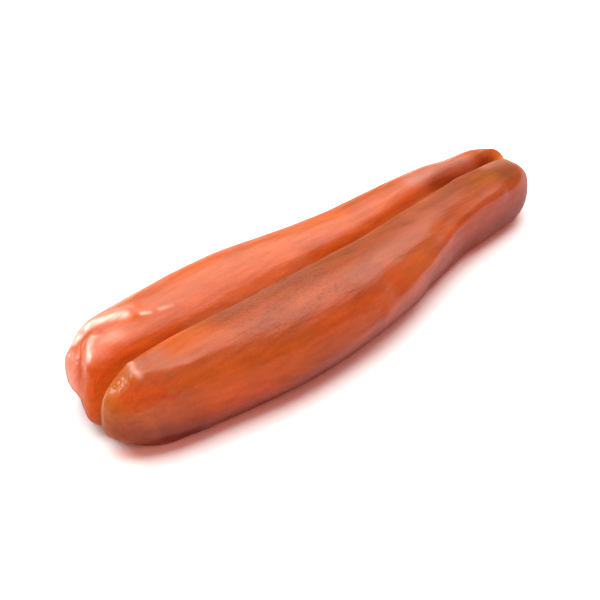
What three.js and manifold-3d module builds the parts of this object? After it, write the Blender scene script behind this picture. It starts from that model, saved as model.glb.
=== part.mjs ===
// Cured fish roe: the whole pair of egg sacs of one fish, salted, pressed and dried in its own skin.
// The two lobes lie side by side with a deep groove between them. They part at the broad end, where
// each has a nose of its own, and grow together at the narrow end. It is one natural piece, so it is
// one closed solid: two lofted lobes joined into each other, with an underside pressed flat.
//
// Millimetres, +Z up. +X runs from the broad end to the narrow end, +Y to the left lobe. The origin is
// the middle of the footprint, on the surface that the roe lies on.
import * as THREE from "three";
import { mergeVertices } from "three/addons/utils/BufferGeometryUtils.js";
import Module from "manifold-3d";

const LENGTH = 182; // from the foremost nose to the end of the longer tail
const LEFT_NOSE_BACK = 4; // how far the left nose stays behind the right one
const RIGHT_TAIL_SHORT = 2.5; // how far the right tail ends before the left one

const LEFT_WIDTH = 29.4; // the left lobe at its widest, before the lobes are pressed together
const LEFT_HEIGHT = 21.8; // and at its highest
const RIGHT_WIDTH = 28;
const RIGHT_HEIGHT = 23.2;

const PRESS_BROAD = 1.8; // how far each lobe is pressed into the middle plane, at the broad end
const PRESS_NARROW = 3; // and at the narrow end, where the two have grown together
const GROWN_FROM = 0.55; // share of the length where they begin to grow together

const SECTION_POWER = 2.4; // a lobe's section, between an ellipse (2) and a box
const WIDEST_AT = 0.46; // share of a lobe's height where it is widest
const PRESSED_FLAT = 0.6; // depth of underside that pressing has flattened away

const RINGS = 56; // sections along a lobe
const RING_POINTS = 30; // corners of a section

// The groove's sideways drift: share of the length, and Y.
const GROOVE = [
  { at: 0, y: 1.4 },
  { at: 0.25, y: 0.5 },
  { at: 0.5, y: -0.5 },
  { at: 0.75, y: 0 },
  { at: 1, y: 0.5 },
];

// Each lobe's sections, by share of its own length from nose to tail: shares of its greatest width and
// height, as they would be without the rounding of the ends. An end is rounded over its length, more
// bluntly with a higher power, and its tip lies inward, towards the groove, and at its own height.
const LEFT = {
  side: 1,
  from: -LENGTH / 2 + LEFT_NOSE_BACK,
  to: LENGTH / 2,
  halfWidth: LEFT_WIDTH / 2,
  height: LEFT_HEIGHT,
  sections: [
    { at: 0, wide: 0.885, high: 1.04 },
    { at: 0.12, wide: 0.945, high: 1 },
    { at: 0.28, wide: 1, high: 0.99 },
    { at: 0.45, wide: 0.91, high: 0.945 },
    { at: 0.62, wide: 0.8, high: 0.85 },
    { at: 0.78, wide: 0.695, high: 0.745 },
    { at: 0.9, wide: 0.625, high: 0.705 },
    { at: 1, wide: 0.6, high: 0.78 },
  ],
  nose: { length: 23, power: 2.8, inward: 7.4, high: 5.5 },
  tail: { length: 15, power: 2.8, inward: 3.2, high: 10 },
};

const RIGHT = {
  side: -1,
  from: -LENGTH / 2,
  to: LENGTH / 2 - RIGHT_TAIL_SHORT,
  halfWidth: RIGHT_WIDTH / 2,
  height: RIGHT_HEIGHT,
  sections: [
    { at: 0, wide: 0.68, high: 0.955 },
    { at: 0.12, wide: 0.795, high: 1 },
    { at: 0.28, wide: 0.995, high: 0.99 },
    { at: 0.45, wide: 1, high: 0.94 },
    { at: 0.62, wide: 0.85, high: 0.86 },
    { at: 0.78, wide: 0.665, high: 0.8 },
    { at: 0.9, wide: 0.65, high: 0.815 },
    { at: 1, wide: 0.685, high: 0.83 },
  ],
  nose: { length: 19, power: 2.6, inward: 1.9, high: 8.7 },
  tail: { length: 16, power: 2.6, inward: 1, high: 9.6 },
};

const INWARD_POWER = 1.8; // how late along an end its tip turns inward
const UNDERSIDE_EXTRA_POWER = 1.2; // an end's underside stays full for longer than its top

// A smooth curve through values given at stations, as a function of the station.
function through(stations, key) {
  const curve = new THREE.CubicInterpolant(
    stations.map((s) => s.at),
    stations.map((s) => s[key]),
    1,
  );
  return (at) => curve.evaluate(at)[0];
}

const grooveY = through(GROOVE, "y");

// How far a lobe reaches into the middle plane at x.
function pressAt(x) {
  const along = x / LENGTH + 0.5;
  const grown = THREE.MathUtils.clamp((along - GROWN_FROM) / (1 - GROWN_FROM), 0, 1);
  return THREE.MathUtils.lerp(PRESS_BROAD, PRESS_NARROW, grown ** 2);
}

// Share of an end that is left to go: 1 at its tip, 0 where the rounding begins.
function towardsTip(distance, end) {
  return THREE.MathUtils.clamp(1 - distance / end.length, 0, 1);
}

const signedPower = (value, power) => Math.sign(value) * Math.abs(value) ** power;

// One section of a lobe as a ring of points. Its half width and height are those without the rounding.
function ring(lobe, at, half, high) {
  const x = THREE.MathUtils.lerp(lobe.from, lobe.to, at);
  const nose = towardsTip(x - lobe.from, lobe.nose);
  const tail = towardsTip(lobe.to - x, lobe.tail);
  const rounding = (extra) =>
    Math.sqrt(1 - nose ** (lobe.nose.power + extra)) *
    Math.sqrt(1 - tail ** (lobe.tail.power + extra));
  const inward =
    lobe.nose.inward * nose ** INWARD_POWER + lobe.tail.inward * tail ** INWARD_POWER;
  const y = grooveY(x / LENGTH + 0.5) + lobe.side * (half - pressAt(x) - inward);
  let middle = WIDEST_AT * high;
  middle = THREE.MathUtils.lerp(middle, lobe.nose.high, nose ** INWARD_POWER);
  middle = THREE.MathUtils.lerp(middle, lobe.tail.high, tail ** INWARD_POWER);
  const above = (high - middle) * rounding(0);
  const below = (middle + PRESSED_FLAT) * rounding(UNDERSIDE_EXTRA_POWER);
  const points = [];
  for (let i = 0; i < RING_POINTS; i += 1) {
    const angle = (2 * Math.PI * i) / RING_POINTS;
    const across = signedPower(Math.cos(angle), 2 / SECTION_POWER);
    const up = signedPower(Math.sin(angle), 2 / SECTION_POWER);
    const z = middle + (up > 0 ? above : below) * up;
    points.push([x, y + half * rounding(0) * across, z]);
  }
  return points;
}

// A lobe as a closed surface: a point at the nose, rings that stand closer near the ends, a point at
// the tail.
function lobeGeometry(lobe) {
  const wide = through(lobe.sections, "wide");
  const high = through(lobe.sections, "high");
  const ringAt = (at) => ring(lobe, at, lobe.halfWidth * wide(at), lobe.height * high(at));
  const positions = [];
  const faces = [];
  for (let r = 1; r < RINGS; r += 1) {
    const at = (1 - Math.cos((Math.PI * r) / RINGS)) / 2;
    positions.push(...ringAt(at));
  }
  const nose = positions.push(ringAt(0)[0]) - 1;
  const tail = positions.push(ringAt(1)[0]) - 1;
  const lastRing = (RINGS - 2) * RING_POINTS;
  for (let i = 0; i < RING_POINTS; i += 1) {
    const next = (i + 1) % RING_POINTS;
    faces.push(nose, next, i);
    faces.push(tail, lastRing + i, lastRing + next);
    for (let start = 0; start < lastRing; start += RING_POINTS) {
      const ahead = start + RING_POINTS;
      faces.push(start + i, start + next, ahead + i);
      faces.push(ahead + i, start + next, ahead + next);
    }
  }
  return new THREE.BufferGeometry()
    .setAttribute("position", new THREE.Float32BufferAttribute(positions.flat(), 3))
    .setIndex(faces);
}

const wasm = await Module();
wasm.setup();

// A closed three.js geometry as a manifold-3d solid, and back again.
function toSolid(geometry) {
  const bare = new THREE.BufferGeometry()
    .setAttribute("position", geometry.getAttribute("position"))
    .setIndex(geometry.index);
  const merged = mergeVertices(bare, 1e-4);
  return new wasm.Manifold(
    new wasm.Mesh({
      numProp: 3,
      vertProperties: merged.attributes.position.array,
      triVerts: new Uint32Array(merged.index.array),
    }),
  );
}

function toGeometry(solid) {
  const mesh = solid.getMesh();
  return new THREE.BufferGeometry()
    .setAttribute("position", new THREE.BufferAttribute(mesh.vertProperties, 3))
    .setIndex(new THREE.BufferAttribute(mesh.triVerts, 1));
}

// Everything below the surface that the roe was pressed on.
function belowSurface() {
  const size = 2 * LENGTH;
  return new THREE.BoxGeometry(size, size, size).translate(0, 0, -size / 2);
}

// The pair of lobes as one solid, with the middle of its footprint at the origin.
function roeGeometry() {
  const pair = toSolid(lobeGeometry(LEFT)).add(toSolid(lobeGeometry(RIGHT)));
  const geometry = toGeometry(pair.subtract(toSolid(belowSurface())));
  geometry.computeBoundingBox();
  const middle = geometry.boundingBox.getCenter(new THREE.Vector3());
  geometry.translate(-middle.x, -middle.y, 0);
  geometry.computeVertexNormals();
  return geometry;
}

const curedRoe = new THREE.MeshStandardMaterial({
  color: 0xcf5f2c,
  roughness: 0.32,
  metalness: 0,
});

const roePair = new THREE.Mesh(roeGeometry(), curedRoe);
roePair.name = "roe_pair";

const part = new THREE.Group();
part.add(roePair);

export default part;
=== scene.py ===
import math

import bpy
import numpy as np
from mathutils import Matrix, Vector, noise


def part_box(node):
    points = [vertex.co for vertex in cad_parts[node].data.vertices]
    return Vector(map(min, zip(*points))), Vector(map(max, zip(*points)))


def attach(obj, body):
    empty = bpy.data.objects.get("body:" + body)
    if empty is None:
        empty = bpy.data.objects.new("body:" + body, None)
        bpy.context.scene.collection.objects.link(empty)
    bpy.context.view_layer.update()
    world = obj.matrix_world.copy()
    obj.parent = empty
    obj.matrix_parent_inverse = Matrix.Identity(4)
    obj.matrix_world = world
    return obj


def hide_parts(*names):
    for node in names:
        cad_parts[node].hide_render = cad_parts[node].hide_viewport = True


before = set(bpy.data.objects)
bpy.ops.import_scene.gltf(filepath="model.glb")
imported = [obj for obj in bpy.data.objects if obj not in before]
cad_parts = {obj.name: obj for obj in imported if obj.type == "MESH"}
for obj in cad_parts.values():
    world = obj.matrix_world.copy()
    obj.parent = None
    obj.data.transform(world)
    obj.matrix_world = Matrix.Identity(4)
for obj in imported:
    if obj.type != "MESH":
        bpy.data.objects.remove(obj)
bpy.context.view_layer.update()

LOW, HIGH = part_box("roe_pair")
LENGTH, WIDTH, HEIGHT = HIGH - LOW
MM = 0.001

# ---------------------------------------------------------------- the two lobes

PRESS_BROAD = 1.2 * MM  # how far each lobe is pressed into the middle plane, at the broad end
PRESS_NARROW = 3.0 * MM  # and at the narrow end, where the two have grown together
GROWN_FROM = 0.55  # share of the length where they begin to grow together
SECTION_POWER = 2.4  # the lower half of a lobe's section, between an ellipse (2) and a box
WIDEST_AT = 0.46  # share of a lobe's height where it is widest
PRESSED_FLAT = 0.6 * MM  # depth of underside that pressing has flattened away
INWARD_POWER = 1.8  # how late along an end its tip turns inward
UNDERSIDE_EXTRA_POWER = 1.2  # an end's underside stays full for longer than its top
MIDDLE_SHIFT = -0.78 * MM  # the middle plane's place, with the footprint's middle at y = 0

# How far the crease lies into the right lobe, whose edge hangs over it: share of the length, mm.
CREASE = [(0, 2.0), (0.1, 2.0), (0.22, 2.7), (0.35, 3.0), (0.5, 2.9), (0.62, 2.2), (0.72, 1.3),
          (0.8, 1.8), (0.86, 3.6), (0.92, 5.2), (1, 6.0)]

GROOVE = [(0, 1.4), (0.25, 0.5), (0.5, -0.5), (0.75, 0), (1, 0.5)]  # share of the length, Y in mm

# A lobe. Its upper half's section has a power of its own towards the groove and on the outer side. Its
# sections are the share of its own length, and shares of its greatest half width and height. An end is
# rounded over its length, and its tip lies inward, towards the groove, and at its own height.
LEFT = {
    "side": 1,
    "groove_power": 1.8,
    "outer_power": 2.4,
    "from": LOW.x + 4 * MM,
    "to": HIGH.x,
    "half": 0.268 * WIDTH,
    "high": 0.939 * HEIGHT,
    "sections": [
        (0, 0.885, 1.04), (0.12, 0.945, 1), (0.28, 1, 0.97), (0.45, 0.91, 0.925),
        (0.62, 0.78, 0.80), (0.78, 0.68, 0.805), (0.86, 0.63, 0.775), (0.93, 0.59, 0.71),
        (1, 0.55, 0.80),
    ],
    "nose": {"length": 23 * MM, "power": 2.8, "inward": 7.4 * MM, "high": 5.5 * MM},
    "tail": {"length": 13 * MM, "power": 3.4, "inward": 3.6 * MM, "high": 10 * MM},
}
RIGHT = {
    "side": -1,
    "groove_power": 4.5,
    "outer_power": 2.6,
    "from": LOW.x,
    "to": HIGH.x - 2.5 * MM,
    "half": 0.2553 * WIDTH,
    "high": 0.999 * HEIGHT,
    "sections": [
        (0, 0.68, 0.955), (0.12, 0.795, 1), (0.28, 0.995, 0.99), (0.45, 1, 0.94),
        (0.62, 0.85, 0.86), (0.78, 0.665, 0.8), (0.9, 0.65, 0.815), (1, 0.64, 0.79),
    ],
    "nose": {"length": 19 * MM, "power": 2.6, "inward": 1.9 * MM, "high": 8.7 * MM},
    "tail": {"length": 17 * MM, "power": 2.3, "inward": 1 * MM, "high": 9.6 * MM},
}

# The flesh that fills the notch between the two tails is an ellipsoid: its middle and radii, in mm.
BRIDGE_MIDDLE = (82.8, 0.6, 9.7)
BRIDGE_RADII = (8.0, 6.5, 8.2)

LOBE_MESH = (420, 160)  # rings along a lobe, and points round each
BRIDGE_MESH = (60, 80)


def smooth_through(stations, values):
    """A natural cubic spline through values at stations, as a function of the station."""
    s, v = np.array(stations, float), np.array(values, float)
    gap = np.diff(s)
    n = len(s)
    system, right = np.eye(n), np.zeros(n)
    for i in range(1, n - 1):
        system[i, i - 1:i + 2] = gap[i - 1], 2 * (gap[i - 1] + gap[i]), gap[i]
        right[i] = 6 * ((v[i + 1] - v[i]) / gap[i] - (v[i] - v[i - 1]) / gap[i - 1])
    bend = np.linalg.solve(system, right)

    def value(at):
        at = np.clip(at, s[0], s[-1])
        i = np.clip(np.searchsorted(s, at) - 1, 0, n - 2)
        h, a, b = gap[i], s[i + 1] - at, at - s[i]
        curve = (bend[i] * a ** 3 + bend[i + 1] * b ** 3) / (6 * h)
        return curve + (v[i] / h - bend[i] * h / 6) * a + (v[i + 1] / h - bend[i + 1] * h / 6) * b

    return value


groove_y = smooth_through([at for at, y in GROOVE], [y * MM for at, y in GROOVE])
crease_in = smooth_through([at for at, y in CREASE], [y * MM for at, y in CREASE])


def press_at(along):
    """How far a lobe reaches into the middle plane, at a share of the length."""
    grown = np.clip((along - GROWN_FROM) / (1 - GROWN_FROM), 0, 1) ** 2
    return PRESS_BROAD + (PRESS_NARROW - PRESS_BROAD) * grown


def signed_power(value, power):
    return np.sign(value) * np.abs(value) ** power


def lobe_points(lobe, rings, ring_points):
    """The points of a lobe, ring by ring from its nose to its tail."""
    at = (1 - np.cos(np.pi * np.arange(rings + 1) / rings)) / 2
    x = lobe["from"] + (lobe["to"] - lobe["from"]) * at
    stations = [s[0] for s in lobe["sections"]]
    half = lobe["half"] * smooth_through(stations, [s[1] for s in lobe["sections"]])(at)
    high = lobe["high"] * smooth_through(stations, [s[2] for s in lobe["sections"]])(at)
    nose = np.clip(1 - (x - lobe["from"]) / lobe["nose"]["length"], 0, 1)
    tail = np.clip(1 - (lobe["to"] - x) / lobe["tail"]["length"], 0, 1)

    def rounding(extra):
        near = np.sqrt(1 - nose ** (lobe["nose"]["power"] + extra))
        return near * np.sqrt(1 - tail ** (lobe["tail"]["power"] + extra))

    upper, lower = rounding(0), rounding(UNDERSIDE_EXTRA_POWER)
    along = x / LENGTH + 0.5
    press = press_at(along)
    nose, tail = nose ** INWARD_POWER, tail ** INWARD_POWER
    inward = lobe["nose"]["inward"] * nose + lobe["tail"]["inward"] * tail
    y = groove_y(along) + MIDDLE_SHIFT + lobe["side"] * (half - press - inward)
    middle = WIDEST_AT * high
    middle += (lobe["nose"]["high"] - middle) * nose
    middle += (lobe["tail"]["high"] - middle) * tail
    above = (high - middle) * upper
    below = (middle + PRESSED_FLAT) * lower
    angle = 2 * np.pi * np.arange(ring_points) / ring_points
    outward = np.cos(angle) * lobe["side"]
    power = np.full(ring_points, SECTION_POWER)
    top = np.sin(angle) > 0
    power[top & (outward < 0)] = lobe["groove_power"]
    power[top & (outward >= 0)] = lobe["outer_power"]
    across = signed_power(np.cos(angle), 2 / power)
    up = signed_power(np.sin(angle), 2 / power)
    half_inner = half + lobe["side"] * crease_in(along)
    reach = np.where(outward[None, :] < 0, half_inner[:, None], half[:, None])
    points = np.empty((rings + 1, ring_points, 3))
    points[:, :, 0] = x[:, None]
    points[:, :, 1] = y[:, None] + upper[:, None] * reach * across
    points[:, :, 2] = middle[:, None] + np.where(up > 0, above[:, None], below[:, None]) * up
    return points


def bridge_points(rings, ring_points):
    """The points of the bridge between the tails, in rings along X."""
    turn = np.pi * np.arange(rings + 1) / rings
    angle = 2 * np.pi * np.arange(ring_points) / ring_points
    points = np.empty((rings + 1, ring_points, 3))
    points[:, :, 0] = -np.cos(turn)[:, None]
    points[:, :, 1] = np.sin(turn)[:, None] * np.cos(angle)
    points[:, :, 2] = np.sin(turn)[:, None] * np.sin(angle)
    return points * np.array(BRIDGE_RADII) * MM + np.array(BRIDGE_MIDDLE) * MM


def closed_surface(points):
    """Vertices and faces over rings of points. The first and the last ring are single points."""
    rings, ring_points = points.shape[0] - 1, points.shape[1]
    vertices = [points[0, 0]] + list(points[1:-1].reshape(-1, 3)) + [points[-1, 0]]
    last = len(vertices) - 1
    faces = []
    for i in range(ring_points):
        j = (i + 1) % ring_points
        faces.append((0, 1 + j, 1 + i))
        start = 1 + (rings - 2) * ring_points
        faces.append((last, start + i, start + j))
        for r in range(rings - 2):
            a = 1 + r * ring_points
            b = a + ring_points
            faces.append((a + i, a + j, b + j, b + i))
    return vertices, faces


# ---------------------------------------------------------------- one skin over both

VOXEL = 0.54 * MM  # size of the skin's faces
SKIN_ROUNDS = 10  # how often the skin is smoothed before it is marked
MARKED_ROUNDS = 8  # and after that


def joined_lobes():
    """Both lobes under one skin, as a mesh of even small faces."""
    vertices, faces = [], []
    lobes = lobe_points(LEFT, *LOBE_MESH), lobe_points(RIGHT, *LOBE_MESH)
    for points in *lobes, bridge_points(*BRIDGE_MESH):
        more_vertices, more_faces = closed_surface(points)
        faces += [tuple(len(vertices) + i for i in face) for face in more_faces]
        vertices += more_vertices
    mesh = bpy.data.meshes.new("roe")
    mesh.from_pydata(vertices, [], faces)
    roe = bpy.data.objects.new("roe", mesh)
    bpy.context.collection.objects.link(roe)
    remesh = roe.modifiers.new("skin", "REMESH")
    remesh.mode = "VOXEL"
    remesh.voxel_size = VOXEL
    depsgraph = bpy.context.evaluated_depsgraph_get()
    skin = bpy.data.meshes.new_from_object(roe.evaluated_get(depsgraph))
    roe.modifiers.clear()
    roe.data = skin
    bpy.data.meshes.remove(mesh)
    return roe


def read_points(mesh):
    points = np.empty(len(mesh.vertices) * 3)
    mesh.vertices.foreach_get("co", points)
    return points.reshape(-1, 3)


def read_normals(mesh):
    normals = np.empty(len(mesh.vertices) * 3)
    mesh.vertices.foreach_get("normal", normals)
    return normals.reshape(-1, 3)


def write_points(mesh, points):
    mesh.vertices.foreach_set("co", points.ravel())
    mesh.update()


def edge_pairs(mesh):
    pairs = np.empty(len(mesh.edges) * 2, int)
    mesh.edges.foreach_get("vertices", pairs)
    return pairs.reshape(-1, 2)


def relaxed(points, pairs, rounds, amount=0.5):
    """The points after rounds of smoothing, each towards the mean of its neighbours."""
    count = np.bincount(pairs.ravel(), minlength=len(points))[:, None]
    for _ in range(rounds):
        total = np.empty_like(points)
        for axis in range(points.shape[1]):
            total[:, axis] = np.bincount(pairs[:, 0], points[pairs[:, 1], axis], len(points))
            total[:, axis] += np.bincount(pairs[:, 1], points[pairs[:, 0], axis], len(points))
        points = points + amount * (total / count - points)
    return points


roe = joined_lobes()
mesh = roe.data
pairs = edge_pairs(mesh)
points = relaxed(read_points(mesh), pairs, SKIN_ROUNDS)
write_points(mesh, points)

# ---------------------------------------------------------------- folds, dents and wrinkles

# A mark is a ridge, or a dent where its height is below zero: the height, how far it reaches to each
# side, and the points of the line that it follows, all in mm.
MARKS = {
    "left_nose_cut": (-2.6, 5.0, [(-85.4, 11.5, 5.5), (-84.0, 15.0, 4.0), (-82.0, 19.0, 3.0)]),
    "left_nose_fold": (-0.7, 2.8, [
        (-76.5, 17.6, 18.6), (-79.5, 14.6, 17.6), (-81.8, 11.2, 16.6), (-83.6, 8.6, 14.2),
    ]),
    "left_nose_ridge": (0.6, 2.4, [
        (-72.7, 15.0, 21.2), (-76.8, 12.9, 21.1), (-79.8, 10.4, 19.8), (-82.2, 7.6, 17.4),
    ]),
    "left_shoulder_ridge": (0.9, 2.4, [
        (-80.5, 17.2, 15.5), (-77.0, 18.6, 18.2), (-72.5, 18.9, 20.4), (-66.5, 17.6, 21.3),
        (-60.0, 13.9, 21.7),
    ]),
    "left_shoulder_dent": (-0.6, 3.0, [(-71.5, 13.5, 21.6), (-64.0, 11.0, 21.8)]),
    "left_facet": (0.9, 3.0, [(-81.0, 16.5, 15.5), (-84.0, 13.2, 11.0)]),
    "left_facet_edge": (0.35, 1.0, [(-81.2, 18.2, 13.0), (-83.0, 15.6, 10.6), (-84.0, 12.6, 9.0)]),
    "left_pit": (-0.5, 0.8, [(-72.9, 14.3, 21.4), (-72.2, 13.8, 21.4)]),
    "left_short_line": (0.3, 0.7, [(-60.2, 11.6, 21.7), (-57.5, 9.8, 21.6)]),
    "left_long_line": (0.3, 0.7, [(-55.0, 9.8, 21.4), (-51.0, 9.2, 21.4), (-47.5, 8.6, 21.3)]),
    "right_nose_ridge": (0.9, 1.7, [(-79.0, -3.6, 22.0), (-81.0, -6.4, 21.8), (-82.4, -8.6, 21.2)]),
    "right_nose_edge": (0.4, 1.8, [
        (-82.4, -8.6, 21.2), (-79.0, -10.8, 22.2), (-75.1, -13.6, 22.3), (-71.0, -15.4, 22.0),
    ]),
    "right_nose_dish": (-0.7, 5.5, [(-76.5, -6.0, 22.8), (-70.0, -8.5, 23.0)]),
    "right_nose_facet": (-0.5, 3.0, [(-83.5, -2.5, 20.0), (-85.0, -3.5, 18.5)]),
    "right_shoulder_line": (0.3, 0.9, [
        (-72.0, -14.6, 22.3), (-64.0, -16.8, 22.2), (-56.0, -17.6, 21.8),
    ]),
    "right_nose_hollow": (-1.3, 2.6, [(-79.0, -17.4, 2.6), (-73.0, -19.0, 2.2)]),
    "right_nose_wrinkle": (-0.16, 0.5, [
        (-90.2, -6.0, 13.0), (-89.0, -9.6, 9.6), (-86.2, -13.0, 7.2), (-81.0, -16.5, 6.4),
    ]),
    "right_nose_second_wrinkle": (-0.14, 0.5, [
        (-88.6, -8.6, 14.6), (-86.6, -12.0, 11.4), (-82.0, -15.6, 9.4),
    ]),
    "right_nose_third_wrinkle": (-0.14, 0.5, [
        (-90.6, -4.6, 9.0), (-89.4, -8.6, 5.8), (-86.4, -12.2, 4.2),
    ]),
    "right_nose_lifted": (-1.8, 4.5, [(-88.5, -7.0, 1.2), (-84.0, -14.0, 1.2)]),
    "right_scratch": (-0.25, 0.6, [(-80.4, -16.4, 17.9), (-77.4, -18.3, 16.9)]),
    "right_waist": (-1.1, 5.5, [
        (4.0, -25.0, 16.6), (18.0, -22.6, 16.0), (31.0, -19.2, 16.3), (42.0, -16.4, 16.6),
    ]),
    "right_low_waist": (-0.9, 4.0, [(24.0, -22.0, 5.0), (50.0, -17.0, 5.0)]),
    "right_low_ridge": (0.8, 2.2, [
        (-4.0, -27.4, 11.2), (10.0, -25.2, 12.0), (20.9, -23.4, 12.8), (31.6, -20.9, 14.2),
        (38.3, -18.8, 15.4), (47.0, -17.0, 16.2), (58.0, -16.0, 16.2), (66.0, -15.6, 15.4),
    ]),
    "right_tail_valley": (-0.5, 2.6, [(34.0, -16.6, 17.0), (45.0, -14.0, 17.6), (56.0, -12.6, 18.0)]),
    "right_tail_dent": (-0.5, 5.0, [(64.0, -9.5, 18.8), (76.0, -10.5, 18.4)]),
    "right_wrinkle": (0.25, 0.5, [(-12.0, -27.0, 16.0), (-9.4, -27.8, 12.4), (-8.2, -27.8, 10.0)]),
    "right_second_wrinkle": (0.2, 0.5, [(-9.4, -27.2, 15.0), (-7.4, -27.7, 12.6)]),
    "tail_lip": (0.5, 1.6, [(60.0, -2.5, 17.4), (72.0, -4.0, 17.4), (82.0, -5.5, 17.0)]),
}

# The left lobe falls off towards the crease: by how much, how far from the crease, and its reach.
SLOPE_DENT, SLOPE_DENT_AT, SLOPE_DENT_REACH = 1.5 * MM, 1.2 * MM, 3.0 * MM
ABOVE_SIDES = (6 * MM, 12 * MM)  # heights between which a lobe's side gives way to its top

# Unevenness: its height in mm, its lumps' size along X, Y and Z in mm, and where the noise starts.
LUMPS = (0.28, (26, 9, 9), 3.1)
RIPPLES = (0.11, (10, 4, 4), 8.7)
FINE_RIPPLES = (0.06, (6, 1.3, 1.3), 21.3)
BEADS = (0.35, (0.95, 0.95, 0.95), 31.9)

# Where the skin stands up in beads: by what share, the reach in mm and the line.
BEADED = [
    (1.0, 1.3, [(-86.4, -3.8, 18.6), (-84.3, -7.3, 20.7), (-82.6, -9.6, 21.4)]),
    (0.6, 1.2, [(-84.4, 14.0, 9.0), (-82.6, 17.4, 11.0)]),
]


def distance_to_line(places, line):
    """How far each place is from a line through several points."""
    nearest = np.full(len(places), np.inf)
    for start, end in zip(line[:-1], line[1:]):
        run = end - start
        share = np.clip((places - start) @ run / (run @ run), 0, 1)
        nearest = np.minimum(nearest, np.linalg.norm(places - start - share[:, None] * run, axis=1))
    return nearest


def closeness(places, line, reach):
    """1 on the line, falling softly to 0 beyond its reach. Line and reach are in mm."""
    return np.exp(-(distance_to_line(places, np.array(line) * MM) / (reach * MM)) ** 2)


def rough(places, size, offset):
    """Smooth noise, about -1 to 1, with lumps of a size given along X, Y and Z in mm."""
    scaled = places / (np.array(size) * MM) + offset
    return np.array([noise.noise(Vector(p)) for p in scaled])


def uneven(places, height, size, offset):
    return height * MM * rough(places, size, offset)


def smooth_step(value, low, high):
    """0 up to the low value and 1 from the high value, with a smooth rise between them."""
    share = np.clip((value - low) / (high - low), 0, 1)
    return share * share * (3 - 2 * share)


def from_crease(places):
    """How far each place lies beyond the crease, on the left lobe's side."""
    along = places[:, 0] / LENGTH + 0.5
    return places[:, 1] - groove_y(along) - MIDDLE_SHIFT + crease_in(along) - press_at(along)


points, normals = read_points(mesh), read_normals(mesh)
across = from_crease(points)
beyond_crease = smooth_step(across, 0, 0.6 * MM) * smooth_step(points[:, 2], *ABOVE_SIDES)
raised = -SLOPE_DENT * np.exp(-((across - SLOPE_DENT_AT) / SLOPE_DENT_REACH) ** 2) * beyond_crease
for height, reach, line in MARKS.values():
    raised += height * MM * closeness(points, line, reach)
raised += uneven(points, *LUMPS)
points = relaxed(points + normals * raised[:, None], pairs, MARKED_ROUNDS)

beads = np.zeros(len(points))
for amount, reach, line in BEADED:
    beads = np.maximum(beads, amount * closeness(points, line, reach))
raised = uneven(points, *RIPPLES) + uneven(points, *FINE_RIPPLES) + beads * uneven(points, *BEADS)
points = points + normals * raised[:, None]
points[:, 2] = np.maximum(points[:, 2], 0)  # pressed flat on the surface
write_points(mesh, points)
for polygon in mesh.polygons:
    polygon.use_smooth = True

# ---------------------------------------------------------------- colour, painted on the mesh

LEFT_SKIN = (0.40, 0.062, 0.007)
# Pink on the left lobe's crown: partly its own blush, partly a painted sheen of the light above.
LEFT_BLUSH_AND_SHEEN = (0.42, 0.086, 0.02)
# The left lobe's slope into the crease, painted a deeper orange for the shade it lies in.
LEFT_SLOPE_SHADE = (0.46, 0.074, 0.0078)
# Painted shade: a deep red laid along the crease, where the right lobe's lip shades the slope below it.
CREASE_SHADE_RED = (0.25, 0.0192, 0.0032)
# The right lobe's top: its own darker brown, greyed for a painted sheen of the light above.
RIGHT_CROWN_AND_SHEEN = (0.295, 0.058, 0.014)
RIGHT_SIDE = (0.345, 0.073, 0.0085)
# Mauve of the right lobe's lower flank: partly its own tone, partly a painted reflection of the floor.
MAUVE_AND_FLOOR_REFLECTION = (0.35, 0.06, 0.024)
# Painted highlight: whitish streaks standing for glints of light off the ridges of the noses and the
# shoulder.
PAINTED_HIGHLIGHT = (0.92, 0.66, 0.56)

# The height where the right lobe's orange side ends and its mauve flank begins, the mauve partly a
# painted reflection of the floor: X and Z in mm.
FLANK_EDGE = [(-80, 6.5), (-65, 7.4), (-53, 7.8), (-40, 8.6), (-29, 9.3), (-16, 10.1), (-2, 12.0),
              (9, 12.8), (21, 12.9), (38, 14.6), (60, 16.0), (91, 14.0)]
FLANK_WOBBLE = (0.9, (9, 5, 5), 5.3)  # how uneven that edge is
FLANK_BLUR = 1.1 * MM  # half the width over which one fades into the other
FLANK_BEYOND = (3 * MM, 6 * MM)  # how far from the crease the right lobe's side begins
FLANK_FROM = (-84 * MM, -66 * MM)  # and where along X

# The left lobe's orange slope is painted shade.
SLOPE_ENDS = (4.2 * MM, 7.0 * MM)  # how far beyond the crease the left lobe's orange slope fades out
SLOPE_WIDENS = 0.7  # by what share it gets wider near the narrow end
# The reach of the painted shade along the crease.
CREASE_SHADE_REACH = 2.2 * MM  # how far the crease's red reaches

LIP_WIDTH = (6 * MM, 14 * MM)  # the right lobe's lip: how far from the crease it ends
LIP_HEIGHT = (15 * MM, 18 * MM)  # how high it begins
LIP_FROM = (-60 * MM, -48 * MM)  # and where it begins to look dark along X

# How strongly each is laid over what is below it.
MAUVE_SHARE, SLOPE_SHADE_SHARE, CREASE_SHADE_SHARE = 0.75, 0.85, 0.8

# Darkening, as a share of the colour.
# Painted shade low on the lobes, near the floor they rest on.
SHADE_LOW_DOWN = (0.5, 0.7, 0.7)  # down at the surface, in red, green and blue
LOW_DOWN_RIGHT, LOW_DOWN_LEFT = 17 * MM, 12 * MM  # and how high it reaches on each lobe
NARROW_END = 0.12
# Painted shade, deeper in the left lobe's slope near the narrow end.
NARROW_SLOPE_SHADE = 0.3
RIGHT_LIP = 0.28

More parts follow.
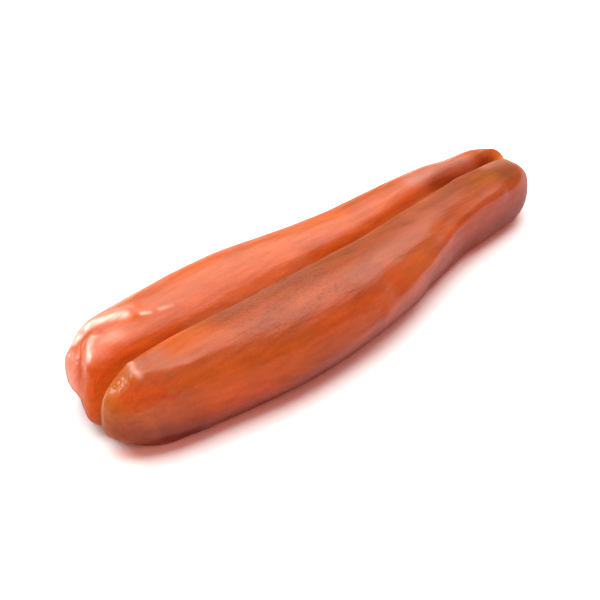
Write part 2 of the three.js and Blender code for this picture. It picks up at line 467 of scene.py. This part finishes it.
# A patch of colour: the colour, its strength, its reach in mm and the line that it follows. A later one
# covers an earlier one.
PATCHES = {
    # Pink along the left crown, partly a painted sheen.
    "left_blush_and_sheen": (LEFT_BLUSH_AND_SHEEN, 0.8, 6, [
        (-60.0, 12.0, 21.5), (-20.0, 11.0, 21.0), (20.0, 8.0, 18.5), (60.0, 6.0, 16.0),
    ]),
    # Painted pink reflection on the left nose's facet.
    "left_nose_pink_reflection": ((0.70, 0.24, 0.16), 0.95, 2.6, [
        (-80.5, 16.0, 16.0), (-82.3, 14.0, 14.5), (-84.2, 12.4, 11.7),
    ]),
    # Painted shade in the fold of the left nose.
    "left_nose_fold": ((0.46, 0.06, 0.003), 0.85, 1.4, [
        (-76.5, 17.6, 18.6), (-79.5, 14.6, 17.6), (-81.8, 11.2, 16.6), (-83.6, 8.6, 14.2),
    ]),
    # Pink on the top of the left nose, partly a painted sheen.
    "left_nose_top_pink_sheen": ((0.58, 0.17, 0.10), 0.9, 3.0, [
        (-79.0, 8.4, 20.4), (-76.0, 9.5, 21.6), (-71.0, 9.5, 21.8),
    ]),
    "left_nose_slope": ((0.60, 0.09, 0.011), 0.85, 5, [(-84.0, 3.0, 13.0), (-86.0, 4.0, 4.0)]),
    "amber_nose": ((0.34, 0.085, 0.005), 0.85, 9, [(-89.0, -3.0, 15.0), (-89.0, -5.0, 5.0)]),
    # Mauve low on the flank, partly a painted reflection of the floor.
    "mauve_flank_reflection": ((0.17, 0.032, 0.012), 0.8, 4.5, [
        (-80.0, -15.0, 8.0), (-50.0, -23.5, 4.0), (-10.0, -26.5, 4.0), (20.0, -23.0, 5.0),
        (50.0, -17.0, 7.0), (78.0, -16.0, 8.0),
    ]),
    "orange_shoulder": ((0.42, 0.075, 0.008), 0.7, 7, [(-66.0, -8.0, 22.8), (-54.0, -12.0, 22.8)]),
    # Mauve on the tail's flank, partly a painted reflection of the floor.
    "tail_mauve_reflection": ((0.28, 0.045, 0.018), 0.85, 4.6, [
        (30.0, -21.5, 9.0), (45.0, -18.0, 11.5), (58.0, -17.0, 12.0), (70.0, -16.5, 11.5),
        (80.0, -15.0, 10.0),
    ]),
    # Pink on the far part of the left crown, partly a painted sheen.
    "far_blush_and_sheen": ((0.38, 0.13, 0.09), 0.85, 2.8, [
        (52.0, 7.6, 16.4), (64.0, 6.6, 16.0), (76.0, 6.0, 15.6),
    ]),
    "far_crown": ((0.36, 0.085, 0.032), 0.6, 5, [(33.0, -6.0, 19.8), (50.0, -5.0, 18.8)]),
    # Painted shade at the foot of the right nose, near the floor.
    "foot_shade": ((0.20, 0.040, 0.008), 0.75, 3.6, [(-88.6, -11.0, 8.5), (-85.0, -14.5, 6.0)]),
    "flank_glow": ((0.46, 0.088, 0.018), 0.65, 4.0, [(-66.0, -21.5, 9.8), (-50.0, -25.0, 9.0)]),
    "slope_blush": ((0.50, 0.13, 0.05), 0.6, 2.8, [
        (-50.0, 2.0, 17.0), (-36.0, 1.6, 16.6), (-4.0, 0.8, 16.2),
    ]),
    "far_left_rim": ((0.33, 0.056, 0.008), 0.6, 2.6, [(30.0, 10.6, 18.0), (46.0, 8.8, 17.4)]),
    # Grey on the right lobe's crown, a painted sheen of the light above.
    "grey_crown_sheen": ((0.27, 0.07, 0.035), 0.7, 6, [(-45.0, -5.0, 22.5), (-18.0, -6.0, 22.5)]),
    "red_side": ((0.32, 0.04, 0.004), 0.6, 5, [(-28.0, -25.0, 16.0), (6.0, -24.5, 15.5)]),
    "tail_side": ((0.30, 0.05, 0.003), 0.8, 2.6, [
        (36.3, -17.4, 16.0), (45.0, -14.6, 17.2), (54.0, -13.0, 18.0), (64.0, -12.4, 18.0),
        (73.0, -12.6, 17.6),
    ]),
    "amber_tail": ((0.31, 0.075, 0.004), 0.9, 3.0, [(63.5, -9.0, 18.8), (70.0, -10.0, 18.6)]),
    "brown_tail": ((0.22, 0.045, 0.004), 0.85, 3.6, [(73.0, -11.5, 18.0), (76.0, -12.5, 17.0)]),
    # Painted shade in the groove between the tails.
    "tail_groove_shade": ((0.27, 0.029, 0.003), 0.85, 3.2, [
        (58.0, 2.4, 15.4), (70.0, 2.4, 14.6), (79.0, 1.6, 15.0),
    ]),
    # Painted sheen along the far end of the right lobe's lip.
    "pale_lip_sheen": ((0.46, 0.16, 0.085), 0.9, 2.2, [
        (72.0, -5.0, 18.4), (78.0, -6.0, 18.0), (84.0, -6.5, 16.5),
    ]),
    # Painted glow where light shines through the thin flesh between the tails.
    "saddle_lit_through": ((0.66, 0.13, 0.003), 0.9, 2.2, [(84.5, -1.5, 16.0), (88.0, -2.0, 14.0)]),
    # Painted highlights along the ridges, laid in flecks.
    "left_shoulder_shine": (PAINTED_HIGHLIGHT, 0.9, 1.3, [
        (-77.0, 18.4, 18.4), (-72.8, 18.0, 20.9), (-70.0, 17.5, 21.6), (-66.8, 16.2, 21.8),
        (-62.7, 14.1, 21.9),
    ]),
    "left_rim": ((0.36, 0.052, 0.002), 0.85, 4.4, [
        (-50.0, 20.0, 16.5), (-10.0, 19.0, 16.5), (15.0, 16.0, 15.5), (40.0, 13.0, 14.0),
    ]),
    "left_short_shine": (PAINTED_HIGHLIGHT, 0.55, 0.5, [(-59.6, 11.2, 21.8), (-57.2, 10.2, 21.7)]),
    "left_long_shine": (PAINTED_HIGHLIGHT, 0.5, 0.6, [(-54.0, 9.8, 21.4), (-50.0, 8.8, 21.4)]),
    "left_ridge_shine": (PAINTED_HIGHLIGHT, 0.55, 1.1, [
        (-75.6, 13.4, 21.2), (-79.6, 10.8, 19.8), (-81.2, 9.2, 18.7),
    ]),
    "right_ridge_shine": (PAINTED_HIGHLIGHT, 0.28, 0.9, [
        (-79.2, -3.8, 22.4), (-81.3, -6.9, 22.2), (-81.8, -9.6, 22.0),
    ]),
    # Painted shadow in the hollow under the right nose, where it lifts off the floor.
    "hollow_shadow": ((0.14, 0.015, 0.02), 0.9, 3.2, [(-80.0, -17.0, 4.0), (-72.0, -19.0, 3.5)]),
    "left_pit": ((0.30, 0.03, 0.006), 0.45, 1.0, [(-72.9, 14.3, 21.4), (-72.2, 13.8, 21.4)]),
    "right_scratch": ((0.30, 0.02, 0.004), 0.5, 0.8, [
        (-80.4, -16.4, 17.9), (-78.6, -17.8, 17.2), (-77.0, -18.4, 17.2),
    ]),
    "right_nose_red": ((0.38, 0.03, 0.004), 0.6, 2.6, [(-86.0, -9.0, 17.0), (-81.0, -13.5, 18.0)]),
}

# Where the skin shines less: by what share, the reach in mm and the line.
DULL = [
    (0.75, 4.0, [(62.0, -9.0, 18.8), (74.0, -11.5, 18.0)]),
    (0.7, 3.0, [(34.0, -18.0, 16.0), (45.0, -14.6, 17.2), (56.0, -12.8, 18.0)]),
    (0.45, 6.0, [(45.0, -18.0, 8.0), (80.0, -15.0, 8.0)]),
    (0.6, 5.0, [(-86.0, 8.0, 5.0), (-86.0, 3.0, 8.0)]),
    (0.55, 3.2, [(-10.0, -12.0, 21.8), (4.0, -12.5, 21.2)]),
    (0.5, 3.0, [(-10.0, 15.0, 19.6), (8.0, 13.6, 18.6), (24.0, 12.0, 18.2)]),
    (0.8, 5.4, [(-45.0, 21.0, 16.0), (0.0, 19.0, 16.0), (20.0, 16.0, 15.0), (50.0, 13.0, 13.5)]),
]


def blended(below, above, share):
    """A colour at each place, with a share of another laid over it."""
    return below + (np.array(above) - below) * share[:, None]


points, normals = read_points(mesh), read_normals(mesh)
x, z, facing_up = points[:, 0], points[:, 2], normals[:, 2]
across = from_crease(points)
along = x / LENGTH + 0.5

# Where each kind of skin lies, as a share from 0 to 1 at each place.
on_left_top = smooth_step(z, *ABOVE_SIDES) * smooth_step(across, 0, 0.5 * MM)
slope_width = 1 + SLOPE_WIDENS * smooth_step(along, 0.78, 0.9)
in_slope = on_left_top * (1 - smooth_step(across / slope_width, *SLOPE_ENDS))
edge_at, edge_height = np.transpose(FLANK_EDGE) * MM
edge = np.interp(x, edge_at, edge_height)
edge += uneven(points, *FLANK_WOBBLE)
over_edge = smooth_step(z, edge - FLANK_BLUR, edge + FLANK_BLUR)
on_right_side = smooth_step(-across, *FLANK_BEYOND) * smooth_step(x, *FLANK_FROM)
at_nose = smooth_step(-x, 66 * MM, 74 * MM)
at_lip = (across < 0) * (1 - smooth_step(-across, *LIP_WIDTH)) * smooth_step(z, *LIP_HEIGHT)
# how much painted shade each place gets near the floor
shade_low_down = 1 - smooth_step(z, 0, np.where(across < 0, LOW_DOWN_RIGHT, LOW_DOWN_LEFT))

tint = np.tile(np.array(RIGHT_SIDE), (len(points), 1))
# where the right lobe faces up: its own brown with a painted grey sheen
tint = blended(tint, RIGHT_CROWN_AND_SHEEN, smooth_step(facing_up, 0.5, 0.95))
tint = blended(tint, LEFT_SKIN, smooth_step(across, -0.4 * MM, 0.6 * MM))
# the lower flank, painted mauve partly for the floor's reflection in it
tint = blended(tint, MAUVE_AND_FLOOR_REFLECTION, MAUVE_SHARE * on_right_side * (1 - over_edge))
# painted shade in the left lobe's slope
tint = blended(tint, LEFT_SLOPE_SHADE, SLOPE_SHADE_SHARE * in_slope)
# painted shade along the crease
tint = blended(tint, CREASE_SHADE_RED, CREASE_SHADE_SHARE * on_left_top * np.exp(-(across / CREASE_SHADE_REACH) ** 2))
flecks = 0.8 + 0.5 * rough(points, (4, 1.0, 1.0), 14.2)
for colour, strength, reach, line in PATCHES.values():
    share = strength * closeness(points, line, reach)
    # the painted highlights are broken into flecks
    if colour is PAINTED_HIGHLIGHT:  # it shows in flecks
        share = np.clip(share * flecks, 0, 1)
    tint = blended(tint, colour, share)
# painted shade low down, near the floor
tint *= 1 - shade_low_down[:, None] * np.array(SHADE_LOW_DOWN)
for darkening in (
    NARROW_END * smooth_step(along, 0.78, 0.95),
    # painted shade in the slope near the narrow end
    NARROW_SLOPE_SHADE * in_slope * on_left_top * smooth_step(along, 0.74, 0.84),
    RIGHT_LIP * at_lip * smooth_step(x, *LIP_FROM),
):
    tint *= (1 - darkening)[:, None]
layer = mesh.color_attributes.new("tint", "FLOAT_COLOR", "POINT")
layer.data.foreach_set("color", np.column_stack([tint, np.ones(len(tint))]).ravel())

# ---------------------------------------------------------------- shine and pits, painted on the mesh

# Where the skin is pitted and where it is wet: a line and its reach, in mm.
GRAINY = ([(-45, -9, 22.5), (-18, -15, 22.0)], 11)
WET_NOSES = ([(-78, 16, 20), (-80, 9, 20), (-83, -6, 20), (-78, -6, 22)], 6.5)
WET_FOOT = ([(-89, -1, 3), (-90, -2, 7)], 1.2)

# The share of its gloss that skin keeps: where it faces sideways, and in the lip along the crease.
SIDE_GLOSS = 0.38
LIP_GLOSS = 0.12
# The share that it loses: in the left lobe's slope, and in the orange band of the right lobe's side.
SLOPE_DULL = 0.95
BAND_DULL = 0.7

grain = closeness(points, *GRAINY)
wet = np.maximum(closeness(points, *WET_NOSES), 0.5 * closeness(points, *WET_FOOT))
gloss = SIDE_GLOSS + (1 - SIDE_GLOSS) * smooth_step(facing_up, 0.15, 0.6)
side_band = on_right_side * over_edge * (1 - smooth_step(facing_up, 0.5, 0.8))
gloss *= (1 - SLOPE_DULL * in_slope) * (1 - BAND_DULL * side_band)
past_lip = np.maximum(smooth_step(-across, 6 * MM, 15 * MM), np.maximum(on_left_top, 0.7 * at_nose))
gloss *= LIP_GLOSS + (1 - LIP_GLOSS) * past_lip
for amount, reach, line in DULL:
    gloss *= 1 - amount * closeness(points, line, reach)
for name, values in {"grain": grain, "wet": wet, "gloss": gloss}.items():
    mesh.attributes.new(name, "FLOAT", "POINT").data.foreach_set("value", values)

# ---------------------------------------------------------------- material

# Noise on the skin's colour: its scale, how far it is stretched along X and its detail, then the range
# of noise that counts and what its two ends become.
BLOTCHES = ((110, 2.2, 3), (0.3, 0.7, 0.86, 1.12))
STREAKS = ((600, 7, 3), (0.3, 0.7, 0.86, 1.12))
SPECKLES = ((2300, 1, 2), (0.35, 0.65, 0.92, 1.07))
PITS = ((1300, 1.6, 3), (0.3, 0.52, -0.4, 0.1))
PITTED_AREAS = ((260, 1.5, 2), (0.4, 0.62, 0.1, 1.0))

COAT_FADE = (0.6, 0.95, 0.85, 0.1)  # the coat's strength falls off between two steepnesses of view
DRY_ROUGHNESS, WET_ROUGHNESS = 0.55, 0.2
FLESH_DEPTH = 3.5 * MM  # how far red light spreads in the flesh
FLESH_RADIUS = (1.0, 0.28, 0.1)  # how far red, green and blue spread, as shares of that depth


def cured_roe():
    """Translucent flesh under a glossy skin. The mesh gives its colour, gloss, wetness and pits."""
    material = bpy.data.materials.new("cured_roe")
    material.use_nodes = True
    nodes, links = material.node_tree.nodes, material.node_tree.links
    shader = nodes["Principled BSDF"]

    def node(kind, **values):
        made = nodes.new(kind)
        for name, value in values.items():
            setattr(made, name, value)
        return made

    def pattern(scale, stretch, detail):
        """Noise in object space, its lumps stretched along X."""
        place = node("ShaderNodeTexCoord")
        mapping = node("ShaderNodeMapping")
        mapping.inputs["Scale"].default_value = (1 / stretch, 1, 1)
        links.new(place.outputs["Object"], mapping.inputs["Vector"])
        made = node("ShaderNodeTexNoise")
        made.inputs["Scale"].default_value = scale
        made.inputs["Detail"].default_value = detail
        links.new(mapping.outputs["Vector"], made.inputs["Vector"])
        return made.outputs["Fac"]

    def ranged(value, low, high, to_low, to_high):
        """A value between low and high, brought to between two others."""
        made = node("ShaderNodeMapRange")
        made.inputs["From Min"].default_value = low
        made.inputs["From Max"].default_value = high
        made.inputs["To Min"].default_value = to_low
        made.inputs["To Max"].default_value = to_high
        links.new(value, made.inputs["Value"])
        return made.outputs["Result"]

    def noisy(shape, range_of):
        return ranged(pattern(*shape), *range_of)

    def times(first, second):
        made = node("ShaderNodeMath", operation="MULTIPLY")
        links.new(first, made.inputs[0])
        links.new(second, made.inputs[1])
        return made.outputs["Value"]

    tint = node("ShaderNodeAttribute", attribute_name="tint")
    grain = node("ShaderNodeAttribute", attribute_name="grain")
    pits = times(noisy(*PITS), noisy(*PITTED_AREAS))
    pitted = node("ShaderNodeMath", operation="MULTIPLY_ADD")
    links.new(pits, pitted.inputs[0])
    links.new(grain.outputs["Fac"], pitted.inputs[1])
    pitted.inputs[2].default_value = 1.0
    shade = times(times(noisy(*BLOTCHES), noisy(*STREAKS)), noisy(*SPECKLES))
    shade = times(shade, pitted.outputs["Value"])
    colour = node("ShaderNodeVectorMath", operation="SCALE")
    links.new(tint.outputs["Color"], colour.inputs["Vector"])
    links.new(shade, colour.inputs["Scale"])
    links.new(colour.outputs["Vector"], shader.inputs["Base Color"])

    # Most of the shine is a coat, which fades where the skin turns edge-on.
    edge_on = node("ShaderNodeLayerWeight")
    edge_on.inputs["Blend"].default_value = 0.5
    shine = ranged(edge_on.outputs["Facing"], *COAT_FADE)
    gloss = node("ShaderNodeAttribute", attribute_name="gloss")
    links.new(times(shine, gloss.outputs["Fac"]), shader.inputs["Coat Weight"])
    shader.inputs["Coat Roughness"].default_value = 0.24
    shader.inputs["Coat IOR"].default_value = 1.5
    shader.inputs["Specular IOR Level"].default_value = 0.1
    wet = node("ShaderNodeAttribute", attribute_name="wet")
    roughness = ranged(wet.outputs["Fac"], 0, 1, DRY_ROUGHNESS, WET_ROUGHNESS)
    links.new(roughness, shader.inputs["Roughness"])

    fine = node("ShaderNodeBump")
    fine.inputs["Strength"].default_value = 0.5
    fine.inputs["Distance"].default_value = 0.3 * MM
    links.new(pattern(900, 5, 4), fine.inputs["Height"])
    pebbles = node("ShaderNodeBump")
    pebbles.inputs["Distance"].default_value = 0.4 * MM
    links.new(times(pattern(1500, 1.3, 2), grain.outputs["Fac"]), pebbles.inputs["Height"])
    links.new(fine.outputs["Normal"], pebbles.inputs["Normal"])
    links.new(pebbles.outputs["Normal"], shader.inputs["Normal"])
    links.new(pebbles.outputs["Normal"], shader.inputs["Coat Normal"])

    shader.inputs["IOR"].default_value = 1.45
    shader.inputs["Subsurface Weight"].default_value = 0.6
    shader.inputs["Subsurface Radius"].default_value = FLESH_RADIUS
    shader.inputs["Subsurface Scale"].default_value = FLESH_DEPTH
    return material


mesh.materials.clear()
mesh.materials.append(cured_roe())

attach(roe, "root")
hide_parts("roe_pair")

# ---------------------------------------------------------------- floor, light and camera

FLOOR_SIDE = 6.0
FLOOR_GREY = 0.93
UNDER = -0.1 * MM  # the floor lies just under the underside
SKY = 0.12  # strength of the light from all round


def floor_of_paper():
    half = FLOOR_SIDE / 2
    corners = [(x, y, UNDER) for x, y in ((-half, -half), (half, -half), (half, half), (-half, half))]
    sheet = bpy.data.meshes.new("floor")
    sheet.from_pydata(corners, [], [(0, 1, 2, 3)])
    paper = bpy.data.materials.new("paper")
    paper.use_nodes = True
    shader = paper.node_tree.nodes["Principled BSDF"]
    shader.inputs["Base Color"].default_value = (FLOOR_GREY, FLOOR_GREY, FLOOR_GREY, 1)
    shader.inputs["Roughness"].default_value = 0.9
    shader.inputs["Specular IOR Level"].default_value = 0.2
    sheet.materials.append(paper)
    made = bpy.data.objects.new("floor", sheet)
    bpy.context.collection.objects.link(made)
    return made


floor = floor_of_paper()

world = bpy.data.worlds.new("studio")
world.use_nodes = True
background = world.node_tree.nodes["Background"]
background.inputs["Color"].default_value = (1, 1, 1, 1)
background.inputs["Strength"].default_value = SKY
bpy.context.scene.world = world

COOL = (0.87, 1, 1)
WARM = (1, 0.62, 0.52)
RED = (1.0, 0.24, 0.16)


def softbox(name, direction, distance, size, radiance, mirrored=True, colour=(1, 1, 1)):
    """A rectangular light that faces the roe from a direction. Only a mirrored one shows in gloss."""
    light = bpy.data.lights.new(name, "AREA")
    light.shape = "RECTANGLE"
    light.size, light.size_y = size
    light.color = colour
    light.energy = radiance * size[0] * size[1] * math.pi
    holder = bpy.data.objects.new(name, light)
    holder.location = Vector(direction).normalized() * distance
    holder.rotation_mode = "QUATERNION"
    holder.rotation_quaternion = (-holder.location).to_track_quat("-Z", "Y")
    holder.visible_glossy = mirrored
    bpy.context.collection.objects.link(holder)


softbox("key", (0.2, 0.45, 1.3), 1.6, (2.8, 2.8), 3.8, mirrored=False, colour=COOL)
softbox("back", (0.66, 0.30, 0.65), 1.2, (1.3, 0.85), 1.5)
softbox("window", (-0.3, 0.8, 0.5), 1.2, (0.3, 0.2), 14.0)
softbox("front fill", (-0.9, 0.15, 0.45), 1.2, (0.8, 0.8), 1.2, mirrored=False, colour=WARM)
softbox("warm fill", (-0.3, -0.75, 0.5), 1.2, (1.5, 1.0), 2.6, mirrored=False, colour=RED)

# The camera stands at a direction and a distance from one point, and looks at another beside it.
AZIMUTH = math.radians(-50)
ELEVATION = math.radians(30.7)
DISTANCE = 611.5 * MM
STANDS_FROM = Vector((-4.1, 0, 9.7)) * MM
LOOKS_AT = Vector((-7.4, 0.5, 6.1)) * MM
to_camera = Vector((
    math.sin(AZIMUTH) * math.cos(ELEVATION),
    -math.cos(AZIMUTH) * math.cos(ELEVATION),
    math.sin(ELEVATION),
))
camera = bpy.data.objects.new("camera", bpy.data.cameras.new("camera"))
camera.location = STANDS_FROM + to_camera * DISTANCE
camera.rotation_mode = "QUATERNION"
camera.rotation_quaternion = (LOOKS_AT - camera.location).to_track_quat("-Z", "Y")
camera.data.lens = 131
camera.data.sensor_width = 36
camera.data.clip_start = 0.01
bpy.context.collection.objects.link(camera)
bpy.context.scene.camera = camera
bpy.context.scene.view_settings.view_transform = "Standard"
